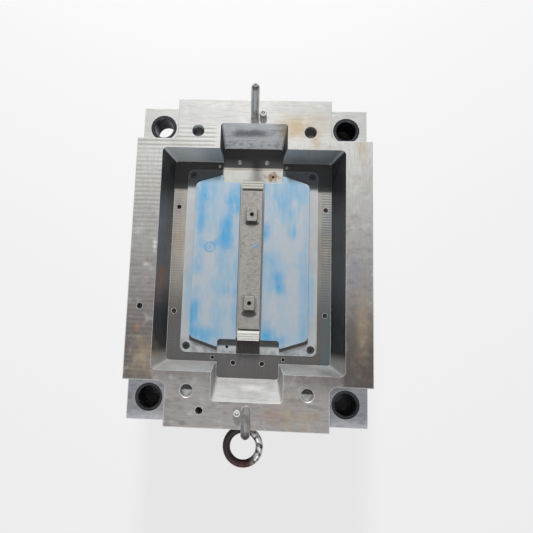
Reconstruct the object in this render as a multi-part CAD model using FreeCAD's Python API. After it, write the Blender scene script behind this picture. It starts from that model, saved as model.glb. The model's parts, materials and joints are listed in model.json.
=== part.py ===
import FreeCAD, Part
import math
import os

# Moving half of an injection mould base, standing on its clamp face, in millimetres.
# Origin: centre of the knockout hole in the clamp plate's back face.
# +Z points from the press platen to the parting face, +Y away from the lifting eye.
# "far" is the +Y end, "near" is the -Y end that carries the lifting eye.

# ---------------------------------------------------------------- plates
PLATE_X = 400.0            # width of core plate over its wings
PLATE_Y = 546.0            # length of core plate over its tabs
CORE_PLATE_T = 76.0
SPACER_T = 100.0           # height of the spacer blocks
CLAMP_T = 30.0
CLAMP_X = 450.0            # clamp plate stands out to be gripped by the press clamps
GUIDE_CLEAR_D = 38.0       # the guide pins run on into the spacer blocks
GUIDE_CLEAR_DEPTH = 60.0
FAR_LEFT_RELIEF = 53.0     # the left spacer block ends short of the far guide bore
SPACER_W = 58.0
PLATE_EDGE = 1.0           # chamfer along plate edges

# ---------------------------------------------------------------- parting face of core plate
TAB_X = 262.0              # width of the raised tab at each end
WING_Y = 405.0             # length of the raised wings
CORNER_STEP = 36.0         # corner pads lie this far under the parting face
CORNER_R = 12.0
POCKET_X = 311.0           # mouth of the tapered pocket
POCKET_Y = 372.0
POCKET_DEPTH = 40.0
POCKET_RUN_X = 16.0        # how far the side walls lean in
POCKET_RUN_Y = 10.5        # how far the end walls lean in
POCKET_MOUTH_R = 8.0
POCKET_FOOT_R = 6.0
NOTCH_X = 115.0            # mouth of the slide notch in each end wall
NOTCH_RUN_X = 4.5
NOTCH_END = 231.0          # distance of the notch's back edge from the middle
NOTCH_RUN_Y = 29.5
NOTCH_R = 6.0

# ---------------------------------------------------------------- guide bushes
GUIDE_X = 328.0            # spacing of the guide bores
GUIDE_Y = 473.0
GUIDE_BORE = 35.0
GUIDE_BUSH_D = 47.0
GUIDE_COLLAR_D = 54.0
GUIDE_COLLAR_T = 6.0
GUIDE_LEAD = 1.5           # lead-in chamfer of each bush

# ---------------------------------------------------------------- core insert block
BLOCK_X = 231.0
BLOCK_Y = 321.0
BLOCK_SINK = 22.0          # how deep the block sits under the pocket floor
BLOCK_PROUD = 1.0          # block stands this far above the pocket floor
BLOCK_R = 10.0
CORE_X = 200.0             # over both core panels
CORE_Y = 269.0             # length of a panel at its outer side
CORE_WAIST_Y = 300.0       # length of a panel where it meets the end recess
CORE_RECESS_X = 104.0      # width of the recess between the panels at each end
CORE_RISE = 8.0            # panels above the pocket floor
CORE_SINK = 14.0           # panels below the pocket floor
CORE_CORNER_R = 5.0
STRIP_X = 36.0
STRIP_Y = 235.0
STRIP_GROOVE = 3.0         # open groove round the centre strip
STRIP_RISE = 24.0          # strip above the pocket floor
END_BAR_Y = 16.0
END_BAR_STEP = 1.6         # drop of each step on an end bar
END_BAR_STEPS = 3
PAD_X = 19.0
PAD_Y = 24.0
PAD_RISE = 4.0
PAD_AT = 75.0              # distance of each pad's hole from the middle
PAD_R = 4.0
PAD_SPIGOT = 3.0

# ---------------------------------------------------------------- angle pins
ANGLE_PIN_D = 14.0
ANGLE_PIN_LEAN = 20.0      # degrees away from the parting face's normal
ANGLE_PIN_AT = 243.5       # where the pin's axis meets the parting face
ANGLE_PIN_UP = 60.0        # height of the tip above the parting face
ANGLE_PIN_IN = 42.0        # depth of the foot under the parting face
ANGLE_PIN_TIP = 5.0
ANGLE_PIN_NOSE = 0.55      # width of the flat nose, in pin diameters
CENTRE_DRILL_D = 3.0
KEEPER_X = 14.2            # keeper screw beside each angle pin
KEEPER_PAST_PIN = 2.8

# ---------------------------------------------------------------- lifting eye
EYE_RING_D = 55.0          # centre line of the ring
EYE_WIRE_D = 12.5
EYE_REACH = 39.0           # ring centre from the plate's side
EYE_THREAD_D = 20.0
EYE_THREAD_L = 24.0
EYE_COLLAR_D = 30.0
EYE_COLLAR_T = 7.0
EYE_NECK_STEP = 2.0        # neck starts this far inside the collar
EYE_X = -3.5
EYE_DEPTH = 45.0           # eye axis under the parting face

# ---------------------------------------------------------------- ejector set
EJECTOR_Y = 490.0
EJECTOR_SIDE_GAP = 2.0
EJECTOR_PLATE_T = 25.0
RETAINER_T = 20.0
STOP_BUTTON_T = 5.0
STOP_BUTTON_D = 22.0
STOP_SPIGOT_D = 8.0
STOP_SPIGOT_L = 8.0
RETURN_PIN_D = 20.0
RETURN_PIN_X = 192.0
RETURN_PIN_Y = 433.0
PIN_SET_BACK = 9.5         # pin ends lie this far under their surface at rest
RETURN_PIN_HEAD = 6.0
PIN_HEAD_STEP = 2.5        # pin head stands out this far all round
EJECTOR_PIN_HEAD = 4.0
RUN_FIT = 0.05             # radial clearance of a moving pin
SPRING_OD = 34.0
SPRING_WIRE = 4.0
SPRING_TURNS = 6
SPRING_FIT = 1.0           # radial clearance of a spring in its pocket
SPRING_POCKET = 25.0
MOUTH_CHAMFER = 1.0

# Ejector pins: diameter, positions, and which surface each comes out of.
NOTCH_PIN_D = 8.0
NOTCH_PIN_X = 24.5
NOTCH_PIN_Y = 176.0
SIDE_PIN_D = 6.0
SIDE_PIN_X = 60.0
SIDE_PIN_Y = 168.0
BLOCK_PIN_D = 5.0
BLOCK_PIN_X = 35.7
BLOCK_PIN_Y = 149.7
PAD_PIN_D = 5.0

# ---------------------------------------------------------------- pillars and fasteners
PILLAR_D = 40.0
PILLAR_X = 150.0
PILLAR_Y = 210.0
PILLAR_FIT = 1.5
KNOCKOUT_D = 50.0
ROD_THREAD_D = 16.0
MAIN_SCREW_D = 16.0
MAIN_SCREW_X = 342.0
MAIN_SCREW_Y = 180.0
MAIN_SCREW_IN = 26.0
PILLAR_SCREW_D = 12.0
PILLAR_SCREW_IN = 20.0
BLOCK_SCREW_D = 8.0
BLOCK_SCREW_X = 105.5
BLOCK_SCREW_Y = 150.0
BLOCK_SCREW_IN = 14.0
CORE_SCREW_D = 8.0
CORE_SCREW_X = 60.0
CORE_SCREW_Y = 70.0
CORE_SCREW_IN = 12.0       # thread in each core panel
EJECTOR_SCREW_D = 10.0
EJECTOR_SCREW_X = 118.0
EJECTOR_SCREW_Y = 140.0
BUTTON_X = 118.0
BUTTON_Y = 190.0
KEEPER_SCREW_D = 8.0
KEEPER_SCREW_IN = 16.0
SCREW_HEAD = 1.5           # head diameter of a cap screw, in shank diameters
SCREW_SOCKET = 0.92        # hexagon of its socket over the corners, in shank diameters
SOCKET_DEPTH = 0.5         # depth of the socket, in shank diameters
SCREW_CLEAR = 0.5          # radial clearance round a screw shank
HEAD_CLEAR = 0.5           # radial clearance round a sunk screw head
HEAD_SINK = 1.0            # sunk heads lie this far below the surface
DOWEL_D = 12.0
DOWEL_Y = 150.0
DOWEL_L = 24.0
FLOOR_TAP_D = 8.5
FLOOR_TAP_X = 129.5
FLOOR_TAP_Y = 92.0
FLOOR_TAP_DEPTH = 18.0
TAB_TAP_D = 12.0
TAB_TAP_X = -74.5
TAB_TAP_Y = -246.5
TAB_TAP_DEPTH = 40.0       # drilled down to the level of the pocket floor
WING_TAP_X = -179.0
WING_TAP_Y = -85.0
WING_TAP_D = 10.0
WING_TAP_DEPTH = 25.0
COOLING_D = 8.0
COOLING_PORT_D = 13.2
COOLING_PORT_L = 14.0
COOLING_Y = 40.0
COOLING_STEP_Y = 75.0
COOLING_UNDER = 28.0       # channel axes under the pocket floor

# ---------------------------------------------------------------- levels
SPACER_Z = CLAMP_T
PLATE_Z = CLAMP_T + SPACER_T
FACE_Z = PLATE_Z + CORE_PLATE_T
CORNER_Z = FACE_Z - CORNER_STEP
FLOOR_Z = FACE_Z - POCKET_DEPTH
BLOCK_TOP = FLOOR_Z + BLOCK_PROUD
BLOCK_BASE = FLOOR_Z - BLOCK_SINK
CORE_TOP = FLOOR_Z + CORE_RISE
CORE_BASE = FLOOR_Z - CORE_SINK
STRIP_TOP = FLOOR_Z + STRIP_RISE
PAD_TOP = STRIP_TOP + PAD_RISE
EYE_Z = FACE_Z - EYE_DEPTH
EJECTOR_Z = CLAMP_T + STOP_BUTTON_T
RETAINER_Z = EJECTOR_Z + EJECTOR_PLATE_T
RETAINER_TOP = RETAINER_Z + RETAINER_T
SPACER_IN = PLATE_X / 2 - SPACER_W
EJECTOR_X = 2 * (SPACER_IN - EJECTOR_SIDE_GAP)
ENDS = (1, -1)
CORNERS = [(x, y) for x in ENDS for y in ENDS]
UP = FreeCAD.Vector(0, 0, 1)


# ---------------------------------------------------------------- shared shapes
def vec(x, y, z):
    return FreeCAD.Vector(x, y, z)


def block(x0, x1, y0, y1, z0, z1):
    return Part.makeBox(x1 - x0, y1 - y0, z1 - z0, vec(x0, y0, z0))


def slab(width, length, z0, z1):
    return block(-width / 2, width / 2, -length / 2, length / 2, z0, z1)


def rod(x, y, z0, z1, d):
    return Part.makeCylinder(d / 2, z1 - z0, vec(x, y, z0), UP)


def rounded_wire(points, radii, z):
    """Closed outline through the points, each corner rounded by its own radius."""
    edges = []
    count = len(points)
    ends = []
    for i in range(count):
        here = vec(points[i][0], points[i][1], z)
        to_last = vec(points[i - 1][0], points[i - 1][1], z) - here
        to_next = vec(points[(i + 1) % count][0], points[(i + 1) % count][1], z) - here
        half = to_last.getAngle(to_next) / 2
        to_last.normalize()
        to_next.normalize()
        reach = radii[i] / math.tan(half)
        middle = to_last + to_next
        middle.normalize()
        bulge = radii[i] / math.sin(half) - radii[i]
        ends.append((here + to_last * reach, here + middle * bulge, here + to_next * reach))
    for i in range(count):
        start, mid, stop = ends[i]
        if radii[i] > 0:
            edges.append(Part.Arc(start, mid, stop).toShape())
        edges.append(Part.LineSegment(stop, ends[(i + 1) % count][0]).toShape())
    return Part.Wire(edges)


def rectangle(x0, x1, y0, y1, r, z):
    return rounded_wire([(x0, y0), (x1, y0), (x1, y1), (x0, y1)], [r] * 4, z)


def prism(wire, height):
    return Part.Face(wire).extrude(vec(0, 0, height))


def chamfered(shape, amount, z, keep):
    """Chamfers the edges that lie flat at height z and whose middle passes keep(x, y)."""
    edges = []
    for edge in shape.Edges:
        box = edge.BoundBox
        if abs(box.ZMin - z) < 0.001 and abs(box.ZMax - z) < 0.001:
            if keep(box.Center.x, box.Center.y):
                edges.append(edge)
    return shape.makeChamfer(amount, edges)


def cap_screw(x, y, z, d, length, up):
    """Socket head screw whose head rests at z, its shank running up (up=1) or down (up=-1)."""
    head = Part.makeCylinder(SCREW_HEAD * d / 2, d, vec(x, y, z), vec(0, 0, -up))
    r = SCREW_SOCKET * d / 2
    floor = z - up * (1 - SOCKET_DEPTH) * d
    turns = [math.radians(60 * k) for k in range(7)]
    hexagon = Part.makePolygon([vec(x + r * math.cos(a), y + r * math.sin(a), floor) for a in turns])
    socket = Part.Face(hexagon).extrude(vec(0, 0, -up * d))
    shank = Part.makeCylinder(d / 2, length, vec(x, y, z), vec(0, 0, up))
    return head.cut(socket).fuse(shank)


def mouth(x, y, z, d):
    """Chamfer cone round the mouth of a bore that opens upwards at z."""
    r = d / 2
    return Part.makeCone(r, r + MOUTH_CHAMFER, MOUTH_CHAMFER, vec(x, y, z - MOUTH_CHAMFER), UP)


def group(shapes):
    return Part.makeCompound(shapes)


def four(fn, x, y):
    """One shape for each corner of a rectangle of the given half sizes."""
    return [fn(sx * x, sy * y) for sx, sy in CORNERS]


# ---------------------------------------------------------------- places that several pieces share
def guide_places():
    return [(sx * GUIDE_X / 2, sy * GUIDE_Y / 2) for sx, sy in CORNERS]


def return_pin_places():
    return [(sx * RETURN_PIN_X / 2, sy * RETURN_PIN_Y / 2) for sx, sy in CORNERS]


def main_screw_places():
    return [(sx * MAIN_SCREW_X / 2, k * MAIN_SCREW_Y) for sx in ENDS for k in (-1, 0, 1)]


def pillar_places():
    return [(sx * PILLAR_X / 2, sy * PILLAR_Y / 2) for sx, sy in CORNERS]


def ejector_pin_rows():
    """Each ejector pin as (x, y, diameter, height of the surface that it comes out of)."""
    rows = [(sx * NOTCH_PIN_X, sy * NOTCH_PIN_Y, NOTCH_PIN_D, FLOOR_Z) for sx, sy in CORNERS]
    rows += [(sx * SIDE_PIN_X, sy * SIDE_PIN_Y, SIDE_PIN_D, FLOOR_Z) for sx, sy in CORNERS]
    rows += [(s * BLOCK_PIN_X, s * BLOCK_PIN_Y, BLOCK_PIN_D, BLOCK_TOP) for s in ENDS]
    rows += [(0, s * PAD_AT, PAD_PIN_D, PAD_TOP) for s in ENDS]
    return rows


def pin_holes(z0, z1, clearance):
    return [rod(x, y, z0, z1, d + 2 * clearance) for x, y, d, _ in ejector_pin_rows()]


def return_pin_holes(z0, z1, clearance):
    return [rod(x, y, z0, z1, RETURN_PIN_D + 2 * clearance) for x, y in return_pin_places()]


def cooling_places():
    return [s * (COOLING_Y + k * COOLING_STEP_Y) for s in ENDS for k in (0, 1)]


def angle_pin_axis(end):
    lean = math.radians(ANGLE_PIN_LEAN)
    return vec(0, end * math.sin(lean), math.cos(lean))


def angle_pin_foot(end):
    axis = angle_pin_axis(end)
    return vec(0, end * ANGLE_PIN_AT, FACE_Z) - axis * (ANGLE_PIN_IN / axis.z)


# ---------------------------------------------------------------- plates
def clamp_plate():
    plate = slab(CLAMP_X, PLATE_Y, 0, CLAMP_T)
    plate = plate.makeChamfer(PLATE_EDGE, plate.Edges)
    cuts = [rod(0, 0, 0, CLAMP_T, KNOCKOUT_D)]
    for places, d in ((main_screw_places(), MAIN_SCREW_D), (pillar_places(), PILLAR_SCREW_D)):
        for x, y in places:
            cuts.append(rod(x, y, 0, CLAMP_T, d + 2 * SCREW_CLEAR))
            cuts.append(rod(x, y, 0, d + HEAD_SINK, SCREW_HEAD * d + 2 * HEAD_CLEAR))
    for x, y in button_places():
        cuts.append(rod(x, y, CLAMP_T - STOP_SPIGOT_L, CLAMP_T, STOP_SPIGOT_D))
    for x, y in dowel_places():
        cuts.append(rod(x, y, CLAMP_T - DOWEL_L / 2, CLAMP_T, DOWEL_D))
    return plate.cut(cuts)


def spacer_block(side):
    x0 = SPACER_IN if side > 0 else -PLATE_X / 2
    far_y = PLATE_Y / 2 if side > 0 else PLATE_Y / 2 - FAR_LEFT_RELIEF
    body = block(x0, x0 + SPACER_W, -PLATE_Y / 2, far_y, SPACER_Z, PLATE_Z)
    body = body.makeChamfer(PLATE_EDGE, body.Edges)
    cuts = [rod(x, y, SPACER_Z, PLATE_Z, MAIN_SCREW_D + 2 * SCREW_CLEAR) for x, y in main_screw_places()]
    cuts += [rod(x, y, SPACER_Z, SPACER_Z + DOWEL_L / 2, DOWEL_D) for x, y in dowel_places()]
    ends = ENDS if side > 0 else [-1]
    for end in ends:
        x = side * GUIDE_X / 2
        y = end * GUIDE_Y / 2
        cuts.append(rod(x, y, PLATE_Z - GUIDE_CLEAR_DEPTH, PLATE_Z, GUIDE_CLEAR_D))
    return body.cut(cuts)


def corner_relief(sx, sy):
    """The block of steel milled away over one corner pad, with the cutter's radius inside."""
    x0 = TAB_X / 2
    y0 = WING_Y / 2
    over = CORNER_R + PLATE_X / 2
    far = CORNER_R + PLATE_Y / 2
    wire = rounded_wire([(x0, y0), (over, y0), (over, far), (x0, far)], [CORNER_R, 0, 0, 0], CORNER_Z)
    relief = prism(wire, CORNER_STEP)
    if sx < 0:
        relief = relief.mirror(vec(0, 0, 0), vec(1, 0, 0))
    if sy < 0:
        relief = relief.mirror(vec(0, 0, 0), vec(0, 1, 0))
    return relief


def tapered_pocket():
    x = POCKET_X / 2
    y = POCKET_Y / 2
    foot_x = x - POCKET_RUN_X
    foot_y = y - POCKET_RUN_Y
    foot = rectangle(-foot_x, foot_x, -foot_y, foot_y, POCKET_FOOT_R, FLOOR_Z)
    rim = rectangle(-x, x, -y, y, POCKET_MOUTH_R, FACE_Z)
    return Part.makeLoft([foot, rim], True, True)


def slide_notch(end):
    """Recess for the slide of the other half: its leaning back face locks the slide's heel."""
    x = NOTCH_X / 2
    inner = POCKET_Y / 2 - 2 * POCKET_RUN_Y
    foot = rectangle(-x + NOTCH_RUN_X, x - NOTCH_RUN_X, inner, NOTCH_END - NOTCH_RUN_Y, NOTCH_R, FLOOR_Z)
    rim = rectangle(-x, x, inner, NOTCH_END, NOTCH_R, FACE_Z)
    cut = Part.makeLoft([foot, rim], True, True)
    return cut if end > 0 else cut.mirror(vec(0, 0, 0), vec(0, 1, 0))


def core_plate():
    plate = slab(PLATE_X, PLATE_Y, PLATE_Z, FACE_Z)
    plate = plate.cut([corner_relief(sx, sy) for sx, sy in CORNERS])
    plate = chamfered(plate, PLATE_EDGE, FACE_Z, lambda x, y: True)
    plate = chamfered(plate, PLATE_EDGE, PLATE_Z, lambda x, y: True)
    plate = plate.cut([tapered_pocket(), slide_notch(1), slide_notch(-1)])
    plate = plate.cut(block_seat(BLOCK_BASE, FLOOR_Z))
    plate = plate.cut(guide_seats() + return_pin_cuts() + plate_screw_holes())
    plate = plate.cut(pin_holes(PLATE_Z, FLOOR_Z, RUN_FIT) + angle_pin_holes())
    return plate.cut(cooling_channels() + [eye_thread_hole()])


def guide_seats():
    cuts = []
    for x, y in guide_places():
        cuts.append(rod(x, y, PLATE_Z, CORNER_Z, GUIDE_BUSH_D))
        cuts.append(rod(x, y, PLATE_Z, PLATE_Z + GUIDE_COLLAR_T, GUIDE_COLLAR_D))
    return cuts


def return_pin_cuts():
    cuts = return_pin_holes(PLATE_Z, FACE_Z, RUN_FIT)
    for x, y in return_pin_places():
        cuts.append(mouth(x, y, FACE_Z, RETURN_PIN_D))
        cuts.append(rod(x, y, PLATE_Z, PLATE_Z + SPRING_POCKET, SPRING_OD + 2 * SPRING_FIT))
    return cuts


def plate_screw_holes():
    cuts = [rod(x, y, PLATE_Z, PLATE_Z + MAIN_SCREW_IN, MAIN_SCREW_D) for x, y in main_screw_places()]
    cuts += [rod(x, y, BLOCK_BASE - BLOCK_SCREW_IN, BLOCK_BASE, BLOCK_SCREW_D)
             for x, y in block_screw_places()]
    cuts += four(lambda x, y: rod(x, y, FLOOR_Z - FLOOR_TAP_DEPTH, FLOOR_Z, FLOOR_TAP_D),
                 FLOOR_TAP_X, FLOOR_TAP_Y)
    cuts += [rod(x, y, FACE_Z - KEEPER_SCREW_IN, FACE_Z, KEEPER_SCREW_D) for x, y in keeper_places()]
    cuts.append(rod(TAB_TAP_X, TAB_TAP_Y, FACE_Z - TAB_TAP_DEPTH, FACE_Z, TAB_TAP_D))
    cuts.append(rod(WING_TAP_X, WING_TAP_Y, FACE_Z - WING_TAP_DEPTH, FACE_Z, WING_TAP_D))
    for x, y in core_screw_places():
        cuts.append(rod(x, y, PLATE_Z, BLOCK_BASE, CORE_SCREW_D + 2 * SCREW_CLEAR))
        cuts.append(rod(x, y, PLATE_Z, core_head_z(), SCREW_HEAD * CORE_SCREW_D + 2 * HEAD_CLEAR))
    return cuts


def core_head_z():
    return PLATE_Z + CORE_SCREW_D + HEAD_SINK


def angle_pin_holes():
    cuts = []
    for end in ENDS:
        depth = (ANGLE_PIN_IN + ANGLE_PIN_D) / angle_pin_axis(end).z
        cuts.append(Part.makeCylinder(ANGLE_PIN_D / 2, depth, angle_pin_foot(end), angle_pin_axis(end)))
    return cuts


def cooling_channels():
    z = FLOOR_Z - COOLING_UNDER
    along = vec(1, 0, 0)
    cuts = []
    for y in cooling_places():
        cuts.append(Part.makeCylinder(COOLING_D / 2, PLATE_X, vec(-PLATE_X / 2, y, z), along))
        for x0 in (-PLATE_X / 2, PLATE_X / 2 - COOLING_PORT_L):
            cuts.append(Part.makeCylinder(COOLING_PORT_D / 2, COOLING_PORT_L, vec(x0, y, z), along))
    return cuts


def eye_thread_hole():
    r = EYE_THREAD_D / 2 + RUN_FIT
    start = vec(EYE_X, -PLATE_Y / 2, EYE_Z)
    return Part.makeCylinder(r, EYE_THREAD_L + 2 * RUN_FIT, start, vec(0, 1, 0))


# ---------------------------------------------------------------- guide bushes
def guide_bush(x, y):
    bush = rod(x, y, PLATE_Z, CORNER_Z, GUIDE_BUSH_D)
    bush = bush.fuse(rod(x, y, PLATE_Z, PLATE_Z + GUIDE_COLLAR_T, GUIDE_COLLAR_D))
    bore = rod(x, y, PLATE_Z, CORNER_Z, GUIDE_BORE)
    r = GUIDE_BORE / 2
    lead = Part.makeCone(r, r + GUIDE_LEAD, GUIDE_LEAD, vec(x, y, CORNER_Z - GUIDE_LEAD), UP)
    return bush.cut([bore, lead])


# ---------------------------------------------------------------- core inserts
def block_seat(z0, z1):
    wire = rectangle(-BLOCK_X / 2, BLOCK_X / 2, -BLOCK_Y / 2, BLOCK_Y / 2, BLOCK_R, z0)
    return prism(wire, z1 - z0)


def block_screw_places():
    return [(sx * BLOCK_SCREW_X, sy * BLOCK_SCREW_Y) for sx, sy in CORNERS]


def core_screw_places():
    return [(sx * CORE_SCREW_X, sy * CORE_SCREW_Y) for sx, sy in CORNERS]


def core_outline(side):
    """Plan of one core panel: long outer corners cut off, inner ends stepped back."""
    outer = CORE_X / 2
    inner = STRIP_X / 2 + STRIP_GROOVE
    neck = CORE_RECESS_X / 2
    end = STRIP_Y / 2 + STRIP_GROOVE + END_BAR_Y
    r = CORE_CORNER_R
    half = [(outer, CORE_Y / 2), (neck, CORE_WAIST_Y / 2), (neck, end), (inner, end)]
    radii = [2 * r, r / 2, r, 0]
    points = half + [(x, -y) for x, y in reversed(half)]
    return [(side * x, y) for x, y in points], radii + radii[::-1]


def core_prism(side, z0, z1):
    points, radii = core_outline(side)
    return prism(rounded_wire(points, radii, z0), z1 - z0)


def strip_prism(z0, z1):
    return slab(STRIP_X, STRIP_Y, z0, z1)


def end_bar_prism(end, z0, z1):
    inner = STRIP_Y / 2 + STRIP_GROOVE
    outer = inner + END_BAR_Y
    return block(-STRIP_X / 2, STRIP_X / 2, min(end * inner, end * outer), max(end * inner, end * outer), z0, z1)


def core_block():
    body = block_seat(BLOCK_BASE, BLOCK_TOP)
    cuts = [core_prism(side, CORE_BASE, BLOCK_TOP) for side in ENDS]
    cuts.append(strip_prism(CORE_BASE, BLOCK_TOP))
    cuts += [end_bar_prism(end, CORE_BASE, BLOCK_TOP) for end in ENDS]
    for x, y in block_screw_places():
        cuts.append(rod(x, y, BLOCK_BASE, BLOCK_TOP, BLOCK_SCREW_D + 2 * SCREW_CLEAR))
        cuts.append(rod(x, y, block_head_z(), BLOCK_TOP, SCREW_HEAD * BLOCK_SCREW_D + 2 * HEAD_CLEAR))
    for x, y in core_screw_places():
        cuts.append(rod(x, y, BLOCK_BASE, CORE_BASE, CORE_SCREW_D + 2 * SCREW_CLEAR))
    cuts += pin_holes(BLOCK_BASE, BLOCK_TOP, RUN_FIT)
    return body.cut(cuts)


def block_head_z():
    return BLOCK_TOP - BLOCK_SCREW_D - HEAD_SINK


def core_panel(side):
    body = core_prism(side, CORE_BASE, CORE_TOP)
    body = chamfered(body, PLATE_EDGE / 2, CORE_TOP, lambda x, y: True)
    cuts = [rod(x, y, CORE_BASE, CORE_BASE + CORE_SCREW_IN, CORE_SCREW_D) for x, y in core_screw_places()]
    return body.cut(cuts)


def centre_strip():
    body = strip_prism(CORE_BASE, STRIP_TOP)
    body = chamfered(body, PLATE_EDGE / 2, STRIP_TOP, lambda x, y: True)
    cuts = pin_holes(CORE_BASE, STRIP_TOP, RUN_FIT)
    cuts += [pad_prism(end, STRIP_TOP - PAD_SPIGOT, STRIP_TOP) for end in ENDS]
    return body.cut(cuts)


def end_bar(end):
    """Stepped shut-off bar: each step lies lower towards the mould's end."""
    body = end_bar_prism(end, CORE_BASE, STRIP_TOP)
    tread = END_BAR_Y / (END_BAR_STEPS + 1)
    inner = STRIP_Y / 2 + STRIP_GROOVE
    cuts = []
    for k in range(1, END_BAR_STEPS + 1):
        near = end * (inner + END_BAR_Y - k * tread)
        far = end * (inner + END_BAR_Y)
        z = STRIP_TOP - (END_BAR_STEPS + 1 - k) * END_BAR_STEP
        cuts.append(block(-STRIP_X / 2, STRIP_X / 2, min(near, far), max(near, far), z, STRIP_TOP))
    return body.cut(cuts)


def pad_prism(end, z0, z1):
    y = end * PAD_AT
    wire = rectangle(-PAD_X / 2, PAD_X / 2, y - PAD_Y / 2, y + PAD_Y / 2, PAD_R, z0)
    return prism(wire, z1 - z0)


def pad(end):
    body = pad_prism(end, STRIP_TOP - PAD_SPIGOT, PAD_TOP)
    body = chamfered(body, PLATE_EDGE, PAD_TOP, lambda x, y: True)
    return body.cut(pin_holes(STRIP_TOP - PAD_SPIGOT, PAD_TOP, RUN_FIT))


# ---------------------------------------------------------------- angle pins and lifting eye
def angle_pin(end):
    """Pin turned with a conical nose and a centre drilling, its foot cut square to its axis."""
    length = (ANGLE_PIN_IN + ANGLE_PIN_UP) / angle_pin_axis(end).z
    r = ANGLE_PIN_D / 2
    hole = CENTRE_DRILL_D / 2
    profile = [(0, 0), (r, 0), (r, length - ANGLE_PIN_TIP), (ANGLE_PIN_NOSE * r, length), (hole, length),
               (0, length - hole), (0, 0)]
    wire = Part.makePolygon([vec(x, 0, z) for x, z in profile])
    pin = Part.Face(wire).revolve(vec(0, 0, 0), UP, 360)
    pin.Placement = FreeCAD.Placement(angle_pin_foot(end), FreeCAD.Rotation(UP, angle_pin_axis(end)))
    return pin


def keeper_places():
    return [(end * KEEPER_X, end * (ANGLE_PIN_AT + KEEPER_PAST_PIN)) for end in ENDS]


def lifting_eye():
    side = -PLATE_Y / 2
    out = vec(0, -1, 0)
    ring = Part.makeTorus(EYE_RING_D / 2, EYE_WIRE_D / 2, vec(EYE_X, side - EYE_REACH, EYE_Z), UP)
    collar = Part.makeCylinder(EYE_COLLAR_D / 2, EYE_COLLAR_T, vec(EYE_X, side, EYE_Z), out)
    neck_l = EYE_REACH - EYE_RING_D / 2 - EYE_COLLAR_T
    neck_r = EYE_COLLAR_D / 2 - EYE_NECK_STEP
    neck = Part.makeCone(neck_r, EYE_WIRE_D / 2, neck_l, vec(EYE_X, side - EYE_COLLAR_T, EYE_Z), out)
    shank = Part.makeCylinder(EYE_THREAD_D / 2, EYE_THREAD_L, vec(EYE_X, side, EYE_Z), vec(0, 1, 0))
    return ring.fuse([collar, neck, shank])


# ---------------------------------------------------------------- ejector set
def ejector_slab(z0, z1):
    plate = slab(EJECTOR_X, EJECTOR_Y, z0, z1)
    return plate.makeChamfer(PLATE_EDGE, plate.Edges)


def pillar_windows(z0, z1):
    return [rod(x, y, z0, z1, PILLAR_D + 2 * PILLAR_FIT) for x, y in pillar_places()]


def ejector_screw_places():
    return [(sx * EJECTOR_SCREW_X, sy * EJECTOR_SCREW_Y) for sx, sy in CORNERS]


def ejector_plate():
    cuts = pillar_windows(EJECTOR_Z, RETAINER_Z)
    cuts.append(rod(0, 0, EJECTOR_Z, RETAINER_Z, ROD_THREAD_D))
    for x, y in ejector_screw_places():
        cuts.append(rod(x, y, EJECTOR_Z, RETAINER_Z, EJECTOR_SCREW_D + 2 * SCREW_CLEAR))
        cuts.append(rod(x, y, EJECTOR_Z, ejector_head_z(), SCREW_HEAD * EJECTOR_SCREW_D + 2 * HEAD_CLEAR))
    return ejector_slab(EJECTOR_Z, RETAINER_Z).cut(cuts)


def ejector_head_z():
    return EJECTOR_Z + EJECTOR_SCREW_D + HEAD_SINK


def retainer_plate():
    cuts = pillar_windows(RETAINER_Z, RETAINER_TOP)
    for x, y, d, _ in ejector_pin_rows():
        cuts.append(rod(x, y, RETAINER_Z, RETAINER_TOP, d))
        cuts.append(rod(x, y, RETAINER_Z, RETAINER_Z + EJECTOR_PIN_HEAD, d + 2 * PIN_HEAD_STEP))
    for x, y in return_pin_places():
        cuts.append(rod(x, y, RETAINER_Z, RETAINER_TOP, RETURN_PIN_D))
        cuts.append(rod(x, y, RETAINER_Z, RETAINER_Z + RETURN_PIN_HEAD, RETURN_PIN_D + 2 * PIN_HEAD_STEP))
    for x, y in ejector_screw_places():
        cuts.append(rod(x, y, RETAINER_Z, RETAINER_TOP, EJECTOR_SCREW_D))
    return ejector_slab(RETAINER_Z, RETAINER_TOP).cut(cuts)


def headed_pin(x, y, d, head, top):
    pin = rod(x, y, RETAINER_Z, top, d)
    return pin.fuse(rod(x, y, RETAINER_Z, RETAINER_Z + head, d + 2 * PIN_HEAD_STEP))


def return_pins():
    top = FACE_Z - PIN_SET_BACK
    return group([headed_pin(x, y, RETURN_PIN_D, RETURN_PIN_HEAD, top) for x, y in return_pin_places()])


def ejector_pins(surface):
    return group([headed_pin(x, y, d, EJECTOR_PIN_HEAD, z - PIN_SET_BACK)
                  for x, y, d, z in ejector_pin_rows() if z == surface])


def return_spring(x, y):
    """Flat-ground die spring: a square wire wound round the return pin."""
    z0 = RETAINER_TOP
    length = PLATE_Z + SPRING_POCKET - RETAINER_TOP
    mean = (SPRING_OD - SPRING_WIRE) / 2
    rise = length - SPRING_WIRE
    helix = Part.makeHelix(rise / SPRING_TURNS, rise, mean)
    half = SPRING_WIRE / 2
    section = Part.makePolygon([vec(mean - half, 0, -half), vec(mean + half, 0, -half),
                                vec(mean + half, 0, half), vec(mean - half, 0, half),
                                vec(mean - half, 0, -half)])
    coil = Part.Wire(helix.Edges).makePipeShell([section], True, True)
    coil.translate(vec(x, y, z0 + half))
    return coil


def button_places():
    return [(sx * BUTTON_X, k * BUTTON_Y) for sx in ENDS for k in (-1, 0, 1)]


def stop_button(x, y):
    disc = rod(x, y, CLAMP_T, EJECTOR_Z, STOP_BUTTON_D)
    return disc.fuse(rod(x, y, CLAMP_T - STOP_SPIGOT_L, CLAMP_T, STOP_SPIGOT_D))


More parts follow.
